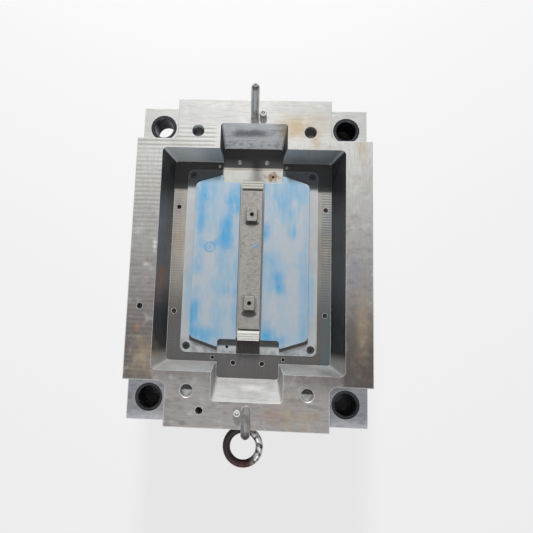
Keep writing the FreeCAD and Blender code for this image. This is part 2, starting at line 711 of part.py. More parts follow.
# ---------------------------------------------------------------- pillars, dowels, screws
def pillar(x, y):
    body = rod(x, y, CLAMP_T, PLATE_Z, PILLAR_D)
    body = body.makeChamfer(PLATE_EDGE, body.Edges)
    return body.cut(rod(x, y, CLAMP_T, CLAMP_T + PILLAR_SCREW_IN, PILLAR_SCREW_D))


def dowel_places():
    return [(sx * MAIN_SCREW_X / 2, sy * DOWEL_Y) for sx, sy in CORNERS]


def dowel(x, y):
    body = rod(x, y, CLAMP_T - DOWEL_L / 2, CLAMP_T + DOWEL_L / 2, DOWEL_D)
    return body.makeChamfer(PLATE_EDGE, body.Edges)


def main_screws():
    z = MAIN_SCREW_D + HEAD_SINK
    return group([cap_screw(x, y, z, MAIN_SCREW_D, PLATE_Z + MAIN_SCREW_IN - z, 1)
                  for x, y in main_screw_places()])


def pillar_screws():
    z = PILLAR_SCREW_D + HEAD_SINK
    return group([cap_screw(x, y, z, PILLAR_SCREW_D, CLAMP_T + PILLAR_SCREW_IN - z, 1)
                  for x, y in pillar_places()])


def ejector_screws():
    z = ejector_head_z()
    return group([cap_screw(x, y, z, EJECTOR_SCREW_D, RETAINER_TOP - z, 1)
                  for x, y in ejector_screw_places()])


def block_screws():
    z = block_head_z()
    return group([cap_screw(x, y, z, BLOCK_SCREW_D, z - BLOCK_BASE + BLOCK_SCREW_IN, -1)
                  for x, y in block_screw_places()])


def core_screws():
    z = core_head_z()
    return group([cap_screw(x, y, z, CORE_SCREW_D, CORE_BASE + CORE_SCREW_IN - z, 1)
                  for x, y in core_screw_places()])


def keeper_screws():
    return group([cap_screw(x, y, FACE_Z, KEEPER_SCREW_D, KEEPER_SCREW_IN, -1) for x, y in keeper_places()])


# ---------------------------------------------------------------- all nodes
def nodes():
    return {
        "clamp_plate": clamp_plate(),
        "left_spacer_block": spacer_block(-1),
        "right_spacer_block": spacer_block(1),
        "core_plate": core_plate(),
        "guide_bushes": group([guide_bush(x, y) for x, y in guide_places()]),
        "core_block": core_block(),
        "left_core_panel": core_panel(-1),
        "right_core_panel": core_panel(1),
        "centre_strip": centre_strip(),
        "far_end_bar": end_bar(1),
        "near_end_bar": end_bar(-1),
        "far_pad": pad(1),
        "near_pad": pad(-1),
        "far_angle_pin": angle_pin(1),
        "near_angle_pin": angle_pin(-1),
        "keeper_screws": keeper_screws(),
        "block_screws": block_screws(),
        "core_screws": core_screws(),
        "lifting_eye": lifting_eye(),
        "ejector_plate": ejector_plate(),
        "ejector_retainer_plate": retainer_plate(),
        "return_pins": return_pins(),
        "floor_ejector_pins": ejector_pins(FLOOR_Z),
        "block_ejector_pins": ejector_pins(BLOCK_TOP),
        "pad_ejector_pins": ejector_pins(PAD_TOP),
        "return_springs": group([return_spring(x, y) for x, y in return_pin_places()]),
        "stop_buttons": group([stop_button(x, y) for x, y in button_places()]),
        "support_pillars": group([pillar(x, y) for x, y in pillar_places()]),
        "spacer_dowels": group([dowel(x, y) for x, y in dowel_places()]),
        "main_screws": main_screws(),
        "pillar_screws": pillar_screws(),
        "ejector_screws": ejector_screws(),
    }


os.makedirs("parts", exist_ok=True)
for name, shape in nodes().items():
    shape.exportStep("parts/" + name + ".step")
    print(name, len(shape.Solids), "solid(s)", round(shape.Volume / 1000, 1), "cm3", shape.isValid())
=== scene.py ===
# %% [markdown]
# # Moving half of an injection mould base
#
# A mould base is a stack of thick steel plates. The top one, the core plate, carries a tapered
# pocket with the shaped core inserts, and the open box under it holds the sprung ejector set.
# This lesson dresses the finished CAD solids: it reads them as a frame, gives each one a
# machined-steel finish from nodes, and models the few pieces whose looks need real mesh work,
# such as coil springs, knurled screws and the forged lifting eye.

# %% Load the frame
import json
import math

import bmesh
import bpy
from mathutils import Matrix, Vector


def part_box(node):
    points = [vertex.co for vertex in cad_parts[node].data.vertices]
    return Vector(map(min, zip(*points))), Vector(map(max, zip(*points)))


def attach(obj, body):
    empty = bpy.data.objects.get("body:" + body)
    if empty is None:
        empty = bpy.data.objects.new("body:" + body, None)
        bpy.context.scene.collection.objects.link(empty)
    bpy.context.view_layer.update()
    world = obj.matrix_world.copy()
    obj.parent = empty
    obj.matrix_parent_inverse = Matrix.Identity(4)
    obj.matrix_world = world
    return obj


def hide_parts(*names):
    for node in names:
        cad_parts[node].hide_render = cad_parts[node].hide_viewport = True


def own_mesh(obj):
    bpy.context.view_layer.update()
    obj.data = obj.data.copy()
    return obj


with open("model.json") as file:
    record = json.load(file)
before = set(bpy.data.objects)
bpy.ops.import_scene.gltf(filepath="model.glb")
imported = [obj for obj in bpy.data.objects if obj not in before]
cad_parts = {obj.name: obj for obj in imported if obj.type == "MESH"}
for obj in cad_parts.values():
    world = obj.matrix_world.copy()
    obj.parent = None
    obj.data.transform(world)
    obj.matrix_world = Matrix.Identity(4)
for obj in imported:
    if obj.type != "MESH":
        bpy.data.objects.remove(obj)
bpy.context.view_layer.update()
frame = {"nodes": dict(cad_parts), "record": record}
MM = 0.001

# %% [markdown]
# ## Levels and places
#
# The finishes change with height and place: a ground parting face, a milled pocket floor, painted
# panels. Those levels are read from the boxes of the CAD nodes, so that they always fit the part.

# %% Levels, in millimetres


def box_mm(node):
    low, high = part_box(node)
    return [v / MM for v in low], [v / MM for v in high]


POCKET_DEPTH = 40
plate_low, plate_high = box_mm("core_plate")
FACE_Z = plate_high[2]
FLOOR_Z = FACE_Z - POCKET_DEPTH
PANEL_Z = box_mm("left_core_panel")[1][2]
STRIP_Z = box_mm("centre_strip")[1][2]
print("parting face at", round(FACE_Z, 1), "panels at", round(PANEL_Z, 1), "strip at", round(STRIP_Z, 1))

# %% [markdown]
# ## A helper for finishes
#
# Every finish starts as a Principled shader. Its colour and bump are built from a handful of
# repeated steps: noise at a size in millimetres, a soft step between two values, a mix of two
# colours, a blot at a place. Wrapping them in one class keeps each finish a few lines long.
# Coordinates are the object's own, which every node of this part shares with the frame.

# %% The class Finish


class Finish:
    """A material built up step by step, with coordinates in millimetres."""

    def __init__(self, name, metallic, roughness):
        self.material = bpy.data.materials.new(name)
        self.material.use_nodes = True
        self.tree = self.material.node_tree
        self.shader = self.tree.nodes["Principled BSDF"]
        self.shader.inputs["Metallic"].default_value = metallic
        self.shader.inputs["Roughness"].default_value = roughness
        scaled = self.add("ShaderNodeVectorMath", operation="SCALE")
        self.join(scaled.inputs[0], self.add("ShaderNodeTexCoord").outputs["Object"])
        scaled.inputs["Scale"].default_value = 1 / MM
        self.mm = scaled.outputs[0]
        self.x, self.y, self.z = self.split(self.mm)
        geometry = self.add("ShaderNodeNewGeometry")
        self.normal = geometry.outputs["Normal"]
        self.across, self.along, self.up = self.split(self.normal)

    def add(self, kind, **settings):
        node = self.tree.nodes.new(kind)
        for key, value in settings.items():
            setattr(node, key, value)
        return node

    def join(self, socket, value):
        """Feeds a socket from another socket, or sets it to a number or colour."""
        if isinstance(value, bpy.types.NodeSocket):
            self.tree.links.new(value, socket)
        elif isinstance(value, (tuple, list)) and len(value) == 3 and socket.type == "RGBA":
            socket.default_value = (*value, 1)
        else:
            socket.default_value = value

    def split(self, vector):
        node = self.add("ShaderNodeSeparateXYZ")
        self.join(node.inputs[0], vector)
        return node.outputs[0], node.outputs[1], node.outputs[2]

    def calc(self, operation, *values):
        node = self.add("ShaderNodeMath", operation=operation)
        for socket, value in zip(node.inputs, values):
            self.join(socket, value)
        return node.outputs[0]

    def times(self, first, *others):
        for other in others:
            first = self.calc("MULTIPLY", first, other)
        return first

    def step(self, value, low, high, start=0.0, end=1.0):
        """Goes smoothly from start to end while value goes from low to high."""
        node = self.add("ShaderNodeMapRange", interpolation_type="SMOOTHSTEP")
        for key, number in (("Value", value), ("From Min", low), ("From Max", high),
                            ("To Min", start), ("To Max", end)):
            self.join(node.inputs[key], number)
        return node.outputs[0]

    def noise(self, size, detail=3.0, stretch=(1, 1, 1), shift=(0, 0, 0)):
        """Cloudy noise whose lumps are about size millimetres wide."""
        mapping = self.add("ShaderNodeMapping")
        self.join(mapping.inputs["Vector"], self.mm)
        mapping.inputs["Location"].default_value = shift
        mapping.inputs["Scale"].default_value = [1 / (size * s) for s in stretch]
        node = self.add("ShaderNodeTexNoise")
        self.join(node.inputs["Vector"], mapping.outputs[0])
        node.inputs["Scale"].default_value = 1
        node.inputs["Detail"].default_value = detail
        return node.outputs[0]

    def mix(self, share, first, second):
        node = self.add("ShaderNodeMix", data_type="RGBA")
        self.join(node.inputs["Factor"], share)
        self.join(node.inputs["A"], first)
        self.join(node.inputs["B"], second)
        return node.outputs["Result"]

    def distance(self, x, y, rx=1.0, ry=1.0):
        """Distance on the plan from a place, as a share of the half widths."""
        dx = self.calc("DIVIDE", self.calc("SUBTRACT", self.x, x), rx)
        dy = self.calc("DIVIDE", self.calc("SUBTRACT", self.y, y), ry)
        return self.calc("SQRT", self.calc("ADD", self.times(dx, dx), self.times(dy, dy)))

    def blot(self, x, y, rx, ry, ragged=0.5, size=14, inner=0.35):
        """1 inside an ellipse on the plan and 0 outside it, with a ragged, soft edge."""
        far = self.distance(x, y, rx, ry)
        torn = self.times(self.calc("SUBTRACT", self.noise(size, shift=(x, y, 0)), 0.5), 2 * ragged)
        return self.step(self.calc("ADD", far, torn), 1.2, inner)

    def level(self, z, reach=0.8):
        """1 on faces that look up at height z."""
        near = self.step(self.calc("ABSOLUTE", self.calc("SUBTRACT", self.z, z)), reach, reach / 2)
        return self.times(near, self.step(self.up, 0.9, 0.97))

    def most(self, first, *others):
        """The largest of several masks, so that any one of them shows."""
        for other in others:
            first = self.calc("MAXIMUM", first, other)
        return first

    def inverse(self, mask):
        return self.calc("SUBTRACT", 1.0, mask)

    def between(self, value, low, high, soft=0.6):
        """1 where value lies between low and high."""
        above = self.step(value, low - soft, low + soft)
        return self.times(above, self.step(value, high + soft, high - soft))

    def edges(self, radius=1.2):
        """1 along sharp edges, found by comparing the surface's normal with a rounded one."""
        bevel = self.add("ShaderNodeBevel", samples=4)
        bevel.inputs["Radius"].default_value = radius * MM
        dot = self.add("ShaderNodeVectorMath", operation="DOT_PRODUCT")
        self.join(dot.inputs[0], bevel.outputs[0])
        self.join(dot.inputs[1], self.normal)
        return self.step(dot.outputs["Value"], 0.98, 0.8)

    def ripple(self, value, pitch):
        """A wave from 0 to 1 that repeats every pitch millimetres of value, with sharp crests."""
        wave = self.calc("SINE", self.times(value, 2 * math.pi / pitch))
        return self.calc("POWER", self.step(wave, -1, 1), 1.5)

    def finish(self, colour, height=None, depth=0.1, roughness=None):
        self.join(self.shader.inputs["Base Color"], colour)
        if roughness is not None:
            self.join(self.shader.inputs["Roughness"], roughness)
        if height is not None:
            bump = self.add("ShaderNodeBump")
            self.join(bump.inputs["Height"], height)
            bump.inputs["Distance"].default_value = depth * MM
            self.join(self.shader.inputs["Normal"], bump.outputs[0])
        return self.material


# %% [markdown]
# ## The core plate
#
# The plate was ground on its parting face, milled in its pocket and then stood for years in a
# workshop. So the finish is layered: a grey that is painted silvery at the far end and brownish at
# the near end, partly as a painted fall of light along the plate, blue-grey walls with painted shade
# and painted reflection on some of them, cutter ripples on the left wing and on the strips of floor
# beside the core, fine grinding lines, ochre and rust blotches, bright edges that are partly wear
# and partly painted highlight, and a painted shadow on the floor under the far wall.

# %% Parting face


def parting_face(f, cloud):
    """Bright at the far end and brown at the near one, partly as painted light falloff, with dark wings
    and with near corner pads painted lighter, as light.
    """
    # Painted light falloff: the face is painted brighter towards the far end and browner and darker
    # towards the near one.
    lengthwise = f.step(f.y, 215, -150)
    light = f.mix(lengthwise, (0.58, 0.58, 0.56), (0.21, 0.185, 0.17))
    dark = f.mix(lengthwise, (0.48, 0.47, 0.44), (0.28, 0.26, 0.25))
    face = f.mix(f.step(cloud, 0.35, 0.7), light, dark)
    face = f.mix(f.step(f.y, 205, 245, 0.0, 0.8), face, (0.43, 0.43, 0.415))
    near_tab = f.mix(cloud, (0.27, 0.25, 0.245), (0.46, 0.44, 0.43))
    face = f.mix(f.step(f.y, -185, -215, 0.0, 0.8), face, near_tab)
    # Painted light: the near corner pads are lightened against the shade that the wings cast on them.
    lit_corner_pads = f.times(f.step(f.z, FACE_Z - 10, FACE_Z - 30), f.step(f.y, 0, -190))
    face = f.mix(lit_corner_pads, face, f.mix(cloud, (0.36, 0.36, 0.39), (0.54, 0.54, 0.58)))
    outside = f.step(f.calc("ABSOLUTE", f.x), 145, 155)
    wings = f.times(outside, f.step(f.y, -30, -150), f.step(f.z, FACE_Z - 10, FACE_Z - 2))
    face = f.mix(f.times(wings, 0.8), face, (0.10, 0.08, 0.07))
    mottle = f.step(f.noise(7, 6, stretch=(2.2, 1, 1)), 0.48, 0.72, 0.0, 0.5)
    face = f.mix(f.times(mottle, f.step(f.y, 215, -60, 0.15, 1.0)), face, (0.15, 0.125, 0.115))
    worn = f.step(f.noise(16, 6, shift=(30, 0, 0)), 0.52, 0.74, 0.0, 0.4)
    face = f.mix(worn, face, (0.62, 0.61, 0.59))
    right_wing = f.times(f.step(f.x, 150, 156), wings, f.step(f.y, -60, -190))
    return f.mix(f.times(right_wing, 0.8), face, (0.07, 0.052, 0.048))


# %% [markdown]
# ### Walls of the pocket
#
# The two long walls are painted nearly black as shade, more so towards their ends and on the right.
# The far end wall is painted pale as reflection, the back of the far notch near white as light and
# its side walls black as shade, while the near end walls were wiped and stay brighter. A mask finds
# each wall by where it lies and which way it looks, so that one finish can serve the whole plate.

# %% Side walls
# Painted shade: the near black laid on the two long walls, darker towards their ends and on the right
# wall.
WALL_SHADE = (0.03, 0.03, 0.032)


def side_walls(f):
    """Blue-grey steel with brown stains, painted nearly black as shade along the two long walls."""
    walls = f.mix(f.noise(35, 3), (0.34, 0.37, 0.41), (0.56, 0.59, 0.62))
    brown = f.step(f.noise(22, 4, stretch=(0.5, 1.6, 1)), 0.5, 0.68)
    walls = f.mix(f.times(brown, 0.3), walls, (0.33, 0.24, 0.18))
    beside = f.between(f.calc("ABSOLUTE", f.x), 137, 162)
    beside = f.times(beside, f.step(f.calc("ABSOLUTE", f.across), 0.5, 0.8))
    corners = f.step(f.calc("ABSOLUTE", f.calc("SUBTRACT", f.y, 10)), 40, 120, 0.55, 0.92)
    walls = f.mix(f.times(beside, corners), walls, WALL_SHADE)
    return f.mix(f.times(beside, f.step(f.x, 0, 1), 0.6), walls, WALL_SHADE)


# %% End walls and notches


def end_walls(f, walls):
    """Adds the end walls and notches, and returns a mask of the far ones, which gleam least."""
    far_wall = f.times(f.step(f.y, 168, 172), f.step(f.along, -0.5, -0.8), f.step(f.x, 90, 0, 0.15, 1.0))
    wiped = f.mix(f.noise(30, 4, stretch=(2, 1, 1)), (0.46, 0.45, 0.43), (0.68, 0.67, 0.65))
    walls = f.mix(f.times(f.step(f.y, -150, -170), 0.8), walls, wiped)
    # Painted reflection: the far end wall is painted pale blue at its left and duller to the right.
    far_reflection = f.mix(f.step(f.x, -50, -105), (0.48, 0.53, 0.58), (0.95, 0.99, 1.0))
    walls = f.mix(far_wall, walls, far_reflection)
    # Painted highlight: a white line along the foot of the far end wall.
    foot_highlight = f.times(far_wall, f.step(f.z, FLOOR_Z + 3, FLOOR_Z + 1.5))
    walls = f.mix(foot_highlight, walls, (1.0, 1.0, 1.0))
    near_back = f.times(f.step(f.y, -199, -203), f.step(f.along, 0.7, 0.78))
    walls = f.mix(f.times(near_back, 0.45), walls, (0.30, 0.29, 0.28))
    # Painted shade: the side walls of the far notch are painted near black.
    cheeks = f.between(f.calc("ABSOLUTE", f.x), 48, 62)
    cheeks = f.times(f.step(f.calc("ABSOLUTE", f.across), 0.7, 0.85), cheeks, f.step(f.y, 184, 190))
    walls = f.mix(f.times(cheeks, 0.95), walls, (0.015, 0.015, 0.018))
    # Painted light: the sloping back of the far notch is painted pale to white.
    far_back = f.times(f.step(f.y, 199, 202), f.step(f.along, -0.7, -0.78), f.between(f.x, -56, 56))
    walls = f.mix(far_back, walls, f.mix(f.noise(20, 3), (0.80, 0.84, 0.90), (1.0, 1.0, 1.0)))
    smudge = f.blot(-8, 220, 42, 6, 0.5, 12, inner=0.2)
    walls = f.mix(f.times(smudge, far_back, 0.75), walls, (0.10, 0.11, 0.13))
    low = f.times(f.step(f.y, 215, 206), f.step(f.noise(9, 3), 0.45, 0.6))
    walls = f.mix(f.times(low, far_back, 0.5), walls, (0.30, 0.31, 0.34))
    return walls, f.most(far_wall, far_back)


# %% [markdown]
# ### Floor of the pocket
#
# The floor was milled and never ground. Oil and dirt have dried on it in long brown clouds, and
# the near end lies in a film of old grease.

# %% Pocket floor


def pocket_floor(f):
    """Brown clouds that darken towards the near end and the far right corner."""
    floor = f.mix(f.noise(26, 4, stretch=(0.6, 2, 1)), (0.22, 0.20, 0.18), (0.46, 0.43, 0.38))
    floor = f.mix(f.step(f.y, 0, -110, 0.0, 0.9), floor, (0.065, 0.063, 0.066))
    right = f.times(f.step(f.x, 100, 112), f.step(f.y, 90, 20), 0.4)
    return f.mix(right, floor, (0.11, 0.095, 0.075))


# %% [markdown]
# ### Grinding lines and cutter marks
#
# A grinding wheel leaves fine lines, which stretched noise draws well. A milling cutter leaves
# wider ripples, one for each step of its feed, so a sine wave along the plate draws those. The
# same values feed the bump, so that lines and ripples catch the light.

# %% Lines and ripples
WING_PITCH = 7.5
FLOOR_PITCH = 4.6


def grinding_lines(f):
    """Fine lines that run along the plate, and across it on the two end tabs."""
    on_tabs = f.step(f.calc("ABSOLUTE", f.y), 196, 204)
    lengthways = f.times(f.noise(1.2, 2, stretch=(0.6, 18, 1)), f.inverse(on_tabs))
    crossways = f.times(f.noise(1.5, 3, stretch=(20, 0.7, 1)), on_tabs)
    return f.calc("ADD", lengthways, crossways)


def cutter_marks(f, colour, on_floor):
    """Ripples from a milling cutter on the left wing, the far left tab and the floor's sides."""
    on_face = f.level(FACE_Z)
    left_wing = f.times(on_face, f.step(f.x, -150, -156))
    far_left = f.times(on_face, f.between(f.y, 188, 226), f.step(f.x, -62, -70))
    patchy = f.step(f.noise(26, 3, stretch=(2, 1, 1)), 0.3, 0.6, 0.35, 1.0)
    wing_ripple = f.times(f.ripple(f.y, WING_PITCH), f.most(left_wing, far_left), patchy)
    right_strip = f.times(on_floor, f.step(f.x, 121, 124))
    left_strip = f.times(on_floor, f.step(f.x, -121, -124))
    floor_ripple = f.times(f.ripple(f.y, FLOOR_PITCH), f.most(right_strip, left_strip), patchy)
    fading = f.step(f.y, -140, 10, 0.3, 1.0)
    colour = f.mix(f.times(wing_ripple, fading, 0.75), colour, (0.30, 0.29, 0.27))
    colour = f.mix(f.times(floor_ripple, right_strip, 0.75), colour, (0.05, 0.13, 0.18))
    colour = f.mix(f.times(floor_ripple, left_strip, 0.45), colour, (0.14, 0.12, 0.10))
    return colour, f.calc("ADD", f.times(wing_ripple, -1.0), f.times(floor_ripple, -0.8))


# %% [markdown]
# ### Stains, and the plate as a whole
#
# Dried preservative, rust, soot, spotting blue and chalk lie on the plate in blots. Each row of
# the table is one blot, which is easier to move and weigh than paint. Then the layers go on in the
# order in which the real plate got them, steel, stains, lines and worn edges, with the edges also
# painted bright as highlights, and last a painted shadow on the floor under the far wall.

# %% Stains
OCHRE = (0.44, 0.33, 0.20)
RUST = (0.42, 0.20, 0.11)
SOOT = (0.10, 0.095, 0.09)
COBALT = (0.20, 0.23, 0.32)
CHALK = (0.80, 0.79, 0.76)
STAINS = [  # x, y, half widths, colour, strength
    (66, 222, 26, 18, OCHRE, 0.9),
    (92, 232, 46, 20, OCHRE, 0.45),
    (104, 204, 9, 18, OCHRE, 0.9),
    (182, 186, 10, 22, OCHRE, 0.6),
    (-178, 205, 7, 3, RUST, 0.8),
    (-168, -165, 20, 30, OCHRE, 0.6),
    (-181, -118, 4, 7, RUST, 0.6),
    (46, -248, 22, 12, RUST, 0.35),
    (66, -243, 10, 24, OCHRE, 0.5),
    (96, -252, 16, 16, OCHRE, 0.5),
    (150, -200, 34, 22, SOOT, 0.45),
    (172, -20, 12, 34, COBALT, 0.45),
    (182, -110, 14, 60, OCHRE, 0.45),
    (166, -130, 8, 60, SOOT, 0.5),
    (-150, -44, 5, 26, RUST, 0.85),
    (-131, 96, 6, 16, SOOT, 0.35),
    (-128, 30, 7, 26, OCHRE, 0.55),
    (131, 20, 6, 22, OCHRE, 0.7),
    (0, -205, 60, 30, SOOT, 0.25),
    (-160, 14, 3, 11, CHALK, 0.8),
    (-172, -16, 6, 5, CHALK, 0.55),
    (4, -213, 22, 4, CHALK, 0.35),
]
print("stains:", len(STAINS))

# %% Plate steel


def plate_steel():
    f = Finish("plate_steel", 0.3, 0.42)
    cloud = f.noise(60, 4)
    walls, dull = end_walls(f, side_walls(f))
    colour = f.mix(f.step(f.up, 0.7, 0.95), walls, parting_face(f, cloud))
    on_floor = f.level(FLOOR_Z)
    colour = f.mix(on_floor, colour, pocket_floor(f))
    for x, y, rx, ry, tint, share in STAINS:
        stain = f.blot(x, y, rx * 1.3, ry * 1.3, 0.9, 16, inner=-0.1)
        colour = f.mix(f.times(stain, share), colour, tint)
    lines = grinding_lines(f)
    colour = f.mix(f.step(lines, 0.45, 0.8, 0.0, 0.45), colour, (0.16, 0.15, 0.14))
    colour, marks = cutter_marks(f, colour, on_floor)
    # Bright edges, partly worn steel and partly painted highlight, stronger towards the near end.
    bright = f.times(f.edges(1.5), f.step(f.y, 100, -100, 0.6, 1.0))
    colour = f.mix(bright, colour, (0.92, 0.92, 0.91))
    tongue = f.times(f.between(f.x, -53, 53), f.step(f.y, 166.5, 165))
    # Painted shadow: the floor under the far wall, beside the tongue, is painted near black.
    far_floor_shadow = f.times(on_floor, f.step(f.y, 121, 127), f.inverse(tongue))
    colour = f.mix(f.times(far_floor_shadow, 0.95), colour, (0.003, 0.003, 0.004))
    metal = f.step(f.up, 0.95, 0.7, 0.3, 0.85)
    f.join(f.shader.inputs["Metallic"], f.times(metal, f.step(dull, 0, 1, 1.0, 0.4)))
    height = f.calc("ADD", marks, f.times(lines, 0.25))
    return f.finish(colour, height, 0.12, f.step(cloud, 0.3, 0.7, 0.44, 0.58))


plate = plate_steel()
print("plate finish:", len(plate.node_tree.nodes), "nodes")

# %% [markdown]
# ## Plain machined plates
#
# The other plates and blocks are ground or milled steel. They differ only in tone and in how
# coarse their grinding lines run, so one function makes them all.

# %% Ground steel


def ground_steel(name, light, dark, metallic=0.5, roughness=0.4, grain=(0.6, 16, 1), edge=0.5, rim=None):
    f = Finish(name, metallic, roughness)
    colour = f.mix(f.step(f.noise(40, 4), 0.3, 0.7), light, dark)
    lines = f.noise(1.1, 2, stretch=grain)
    colour = f.mix(f.step(lines, 0.45, 0.8, 0.0, 0.3), colour, [c * 0.5 for c in dark])
    spots = f.step(f.noise(9, 5), 0.66, 0.75, 0.0, 0.5)
    colour = f.mix(spots, colour, (0.16, 0.11, 0.07))
    colour = f.mix(f.times(f.edges(0.8), edge), colour, rim or [min(1, c * 1.5) for c in light])
    rough = f.step(f.noise(18, 3), 0.3, 0.7, roughness - 0.06, roughness + 0.08)
    return f.finish(colour, lines, 0.02, rough)


base = ground_steel("base_steel", (0.42, 0.42, 0.43), (0.30, 0.30, 0.31), grain=(18, 0.6, 1))
# Painted shade: the guide bushes are near black, for the dark inside their bores, with a painted
# highlight on their rims.
bush = ground_steel("bush_steel", (0.035, 0.035, 0.04), (0.015, 0.015, 0.018), metallic=0.6,
                    roughness=0.3, grain=(1, 1, 4), edge=0.8, rim=(0.40, 0.42, 0.46))
keeper = ground_steel("keeper_steel", (0.62, 0.62, 0.61), (0.42, 0.42, 0.41), metallic=0.8,
                      roughness=0.28, grain=(1, 1, 5), edge=0.85, rim=(0.05, 0.045, 0.04))
screws = ground_steel("screw_steel", (0.06, 0.06, 0.065), (0.03, 0.03, 0.032), metallic=0.6,
                      grain=(1, 1, 5), edge=0.7)
print("ground finishes:", base.name, bush.name, keeper.name, screws.name)

# %% [markdown]
# ## Pins
#
# Pins are ground bright. Where a pin's end stands below its hole's mouth, the shade of the hole is
# painted on it: the finish looks at the height and place of a pin's end and darkens it there.

# %% Pin steel


def pin_steel():
    f = Finish("pin_steel", 0.75, 0.28)
    colour = f.mix(f.step(f.noise(12, 4), 0.35, 0.65), (0.70, 0.69, 0.67), (0.42, 0.41, 0.40))
    # Painted light and shade: the far angle pin is lightened as highlight and the near one darkened as
    # shade.
    colour = f.mix(f.step(f.y, 240, 246, 0.0, 0.6), colour, (0.98, 0.97, 0.95))
    colour = f.mix(f.step(f.y, -238, -246, 0.0, 0.35), colour, (0.20, 0.19, 0.18))
    turned = f.noise(1.0, 2, stretch=(6, 6, 0.5))
    colour = f.mix(f.step(turned, 0.5, 0.8, 0.0, 0.4), colour, (0.14, 0.13, 0.12))
    # Painted shade in the holes: sunk pin ends are darkened below the pocket floor, in the return pin
    # holes at both ends (the near ones most on their far half) and in the pads.
    sunk = f.step(f.z, FACE_Z, FACE_Z - 2)
    near_floor = f.times(f.step(f.z, FLOOR_Z + 3, FLOOR_Z + 1), f.between(f.y, -192, 120))
    far_return = f.times(f.step(f.y, 188, 194), sunk)
    near_return = f.times(f.step(f.y, -188, -194), sunk, f.step(f.y, -218, -215, 0.45, 1.0))
    in_pads = f.step(f.distance(0, 0, 12, 110), 1.0, 0.95)
    dark = f.most(near_floor, far_return, near_return, in_pads)
    colour = f.mix(f.times(dark, 0.9), colour, (0.015, 0.015, 0.016))
    nose = f.step(f.z, FACE_Z + 55, FACE_Z + 59)
    colour = f.mix(f.times(nose, 0.9), colour, (0.06, 0.055, 0.055))
    rough = f.step(f.most(nose, dark), 0, 1, 0.28, 0.65)
    return f.finish(colour, turned, 0.02, rough)


pin = pin_steel()
print("pin finish:", len(pin.node_tree.nodes), "nodes")

# %% [markdown]
# ## The core block and its panels
#
# The block between the pocket floor and the panels is ground bright. The two panels are the
# moulding surface: pale polished steel that still carries spotting blue, the paint a toolmaker
# wipes on to see where the two halves of the mould touch. It was wiped in broad strokes, so it is
# drawn as a few soft ragged blots over a cloudy veil of the same blue.

# %% Panels
BLUE = (0.05, 0.34, 0.63)
PALE = (0.46, 0.50, 0.545)
BLUE_BLOTS = [  # x, y, half widths, strength
    (-84, 112, 14, 26, 0.95),
    (-88, 62, 8, 40, 0.75),
    (-30, 104, 13, 22, 0.95),
    (-44, 36, 14, 44, 0.8),
    (-72, 20, 9, 8, 0.55),
    (-88, -10, 8, 18, 0.6),
    (-92, -84, 9, 30, 0.85),
    (-80, -128, 26, 12, 0.7),
    (-34, -52, 12, 12, 0.5),
    (-24, -60, 5, 70, 0.4),
    (23, 46, 8, 16, 0.95),
    (60, 108, 18, 26, 0.55),
    (74, 50, 10, 12, 0.45),
    (44, -30, 12, 12, 0.8),
    (49, -46, 13, 14, 1.0),
    (30, -128, 14, 16, 0.95),
    (52, -136, 18, 8, 0.6),
    (34, 0, 16, 18, 0.35),
    (-98, -104, 6, 34, 1.0),
    (-44, 48, 8, 26, 0.8),
    (-60, 28, 14, 6, 0.6),
    (94, -30, 7, 80, 0.4),
    (92, -112, 8, 26, 0.4),
]


def core_steel():
    f = Finish("core_steel", 0.15, 0.55)
    wiped = f.noise(8, 3, stretch=(0.8, 5, 1))
    veil = f.step(f.noise(30, 3, stretch=(1, 1.8, 1)), 0.36, 0.66, 0.0, 0.7)
    veil = f.times(veil, f.step(wiped, 0.3, 0.65, 0.5, 1.0))
    colour = f.mix(veil, PALE, (0.24, 0.45, 0.61))
    for x, y, rx, ry, share in BLUE_BLOTS:
        soft = f.blot(x, y, rx * 1.5, ry * 1.35, 0.7, 24, inner=-0.1)
        colour = f.mix(f.times(soft, f.step(wiped, 0.25, 0.6, 0.7, 1.0), share), colour, BLUE)
    ends = f.step(f.calc("ABSOLUTE", f.calc("ADD", f.y, 5)), 60, 130)
    haze = f.times(ends, f.step(wiped, 0.3, 0.6, 0.5, 1.0))
    colour = f.mix(f.times(haze, 0.22), colour, (0.10, 0.38, 0.60))
    ring = f.distance(-71, 20)
    colour = f.mix(f.times(f.between(ring, 7.5, 9.5, 0.8), 0.8), colour, BLUE)
    rubbed = f.step(f.noise(15, 4, stretch=(0.8, 3, 1), shift=(50, 0, 0)), 0.54, 0.74, 0.0, 0.6)
    colour = f.mix(rubbed, colour, (0.52, 0.53, 0.56))
    sides = f.step(f.up, 0.8, 0.5)
    colour = f.mix(sides, colour, (0.26, 0.29, 0.33))
    colour = f.mix(f.times(f.edges(), 0.5), colour, (0.80, 0.82, 0.84))
    return f.finish(colour, f.noise(7, 3), 0.03, f.step(veil, 0, 0.5, 0.52, 0.64))


panels = core_steel()
print("panel finish:", len(panels.node_tree.nodes), "nodes")

# %% [markdown]
# ### The block under the panels
#
# What shows of the block is its rim, with light and shade painted on it: lit at the far tongue,
# in shadow beside it, and shaded under the near edges of the panels. Each of these is a mask by
# place, laid over a cloudy grey.

# %% Block
CORE_CORNER = (100, -134.5)  # near corner of a panel: half width and place along the plate
PANEL_TAPER = 15.5 / 48  # the panel's near edge runs out towards the middle


